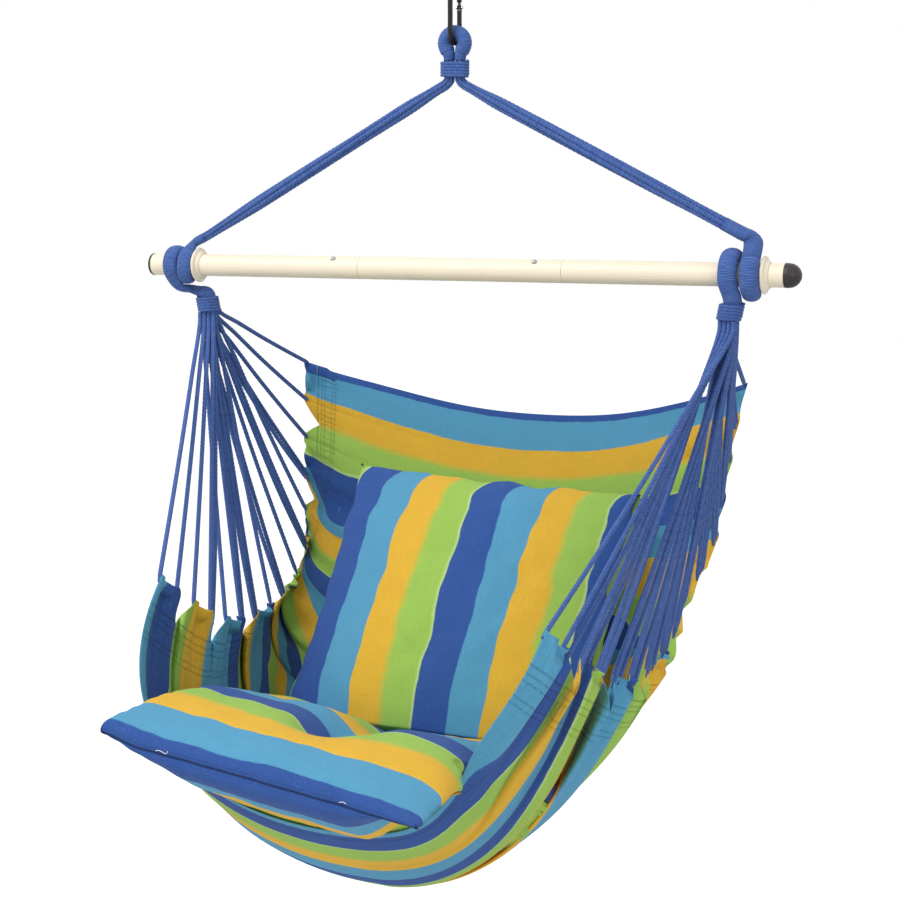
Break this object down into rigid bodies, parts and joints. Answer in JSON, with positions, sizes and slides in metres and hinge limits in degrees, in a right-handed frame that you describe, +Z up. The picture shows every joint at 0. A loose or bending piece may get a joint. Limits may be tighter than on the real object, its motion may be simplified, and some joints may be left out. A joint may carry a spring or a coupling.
{
  "type": "hammock chair",
  "caption": "Hanging cotton sling seat with two cushions, corded to a three-piece spreader bar that hangs in ropes from a loop on a snap hook.",
  "frame": {"origin": "inside top of the snap hook's upper bow, where the ceiling hook or rope holds it", "axes": "+X along the spreader bar to the sitter's left, -Y the way the sitter faces, +Z up"},
  "size_m": [0.98, 0.8658, 1.2155],
  "materials": {
    "black_steel": "satin",
    "bright_steel": "satin",
    "cream_paint": "satin",
    "cream_plastic": "satin",
    "black_plastic": "satin",
    "blue_rope": "matte",
    "striped_cotton": "matte",
    "cushion_cotton": "matte"
  },
  "bodies": {
    "snap_hook": {"hook_body": "black_steel", "gate_rivet": "bright_steel"},
    "gate": {"hook_gate": "black_steel"},
    "chair": {"top_loop": "blue_rope", "neck_binding": "blue_rope", "upper_rope_left": "blue_rope", "upper_rope_right": "blue_rope", "hitch_left": "blue_rope", "hitch_right": "blue_rope", "binding_left": "blue_rope", "binding_right": "blue_rope", "cord_left_01": "blue_rope", "cord_left_02": "blue_rope", "cord_left_03": "blue_rope", "cord_left_04": "blue_rope", "cord_left_05": "blue_rope", "cord_left_06": "blue_rope", "cord_left_07": "blue_rope", "cord_left_08": "blue_rope", "cord_left_09": "blue_rope", "cord_left_10": "blue_rope", "cord_left_11": "blue_rope", "cord_left_12": "blue_rope", "cord_left_13": "blue_rope", "cord_left_14": "blue_rope", "cord_left_15": "blue_rope", "cord_left_16": "blue_rope", "cord_right_01": "blue_rope", "cord_right_02": "blue_rope", "cord_right_03": "blue_rope", "cord_right_04": "blue_rope", "cord_right_05": "blue_rope", "cord_right_06": "blue_rope", "cord_right_07": "blue_rope", "cord_right_08": "blue_rope", "cord_right_09": "blue_rope", "cord_right_10": "blue_rope", "cord_right_11": "blue_rope", "cord_right_12": "blue_rope", "cord_right_13": "blue_rope", "cord_right_14": "blue_rope", "cord_right_15": "blue_rope", "cord_right_16": "blue_rope", "sling_cloth": "striped_cotton"},
    "bar": {"bar_tube_left": "cream_paint", "bar_tube_middle": "cream_paint", "bar_tube_right": "cream_paint", "collar_left": "cream_plastic", "collar_right": "cream_plastic", "end_cap_left": "black_plastic", "end_cap_right": "black_plastic", "button_spring_left": "bright_steel", "button_spring_right": "bright_steel"},
    "button_left": {"snap_button_left": "bright_steel"},
    "button_right": {"snap_button_right": "bright_steel"},
    "seat_cushion": {"seat_cushion": "cushion_cotton"},
    "back_cushion": {"back_cushion": "cushion_cotton"}
  },
  "joints": [
    {"name": "gate_hinge", "type": "hinge", "parent": "snap_hook", "child": "gate", "pos_m": [0, 0.0165, -0.02], "axis": [-1, 0, 0], "range_deg": [0, 25], "stiffness_Nm_per_rad": 0.1, "springref_deg": -22.92},
    {"name": "chair_swing", "type": "hinge", "parent": "snap_hook", "child": "chair", "pos_m": [0, 0, -0.053], "axis": [1, 0, 0], "range_deg": [-20, 20]},
    {"name": "bar_spin", "type": "hinge", "parent": "chair", "child": "bar", "pos_m": [0, 0, -0.38], "axis": [1, 0, 0], "continuous": true},
    {"name": "button_left_press", "type": "slide", "parent": "bar", "child": "button_left", "axis": [0, 0.6157, -0.788], "range_m": [0, 0.0034], "stiffness_N_per_m": 1200, "springref_m": -0.002, "deforming": ["button_spring_left"]},
    {"name": "button_right_press", "type": "slide", "parent": "bar", "child": "button_right", "axis": [0, 0.6157, -0.788], "range_m": [0, 0.0034], "stiffness_N_per_m": 1200, "springref_m": -0.002, "deforming": ["button_spring_right"]},
    {"name": "seat_cushion_lift", "type": "slide", "parent": "chair", "child": "seat_cushion", "axis": [0, 0, 1], "range_m": [0, 0.08]},
    {"name": "back_cushion_lift", "type": "slide", "parent": "seat_cushion", "child": "back_cushion", "axis": [0, 0, 1], "range_m": [0, 0.1]}
  ]
}
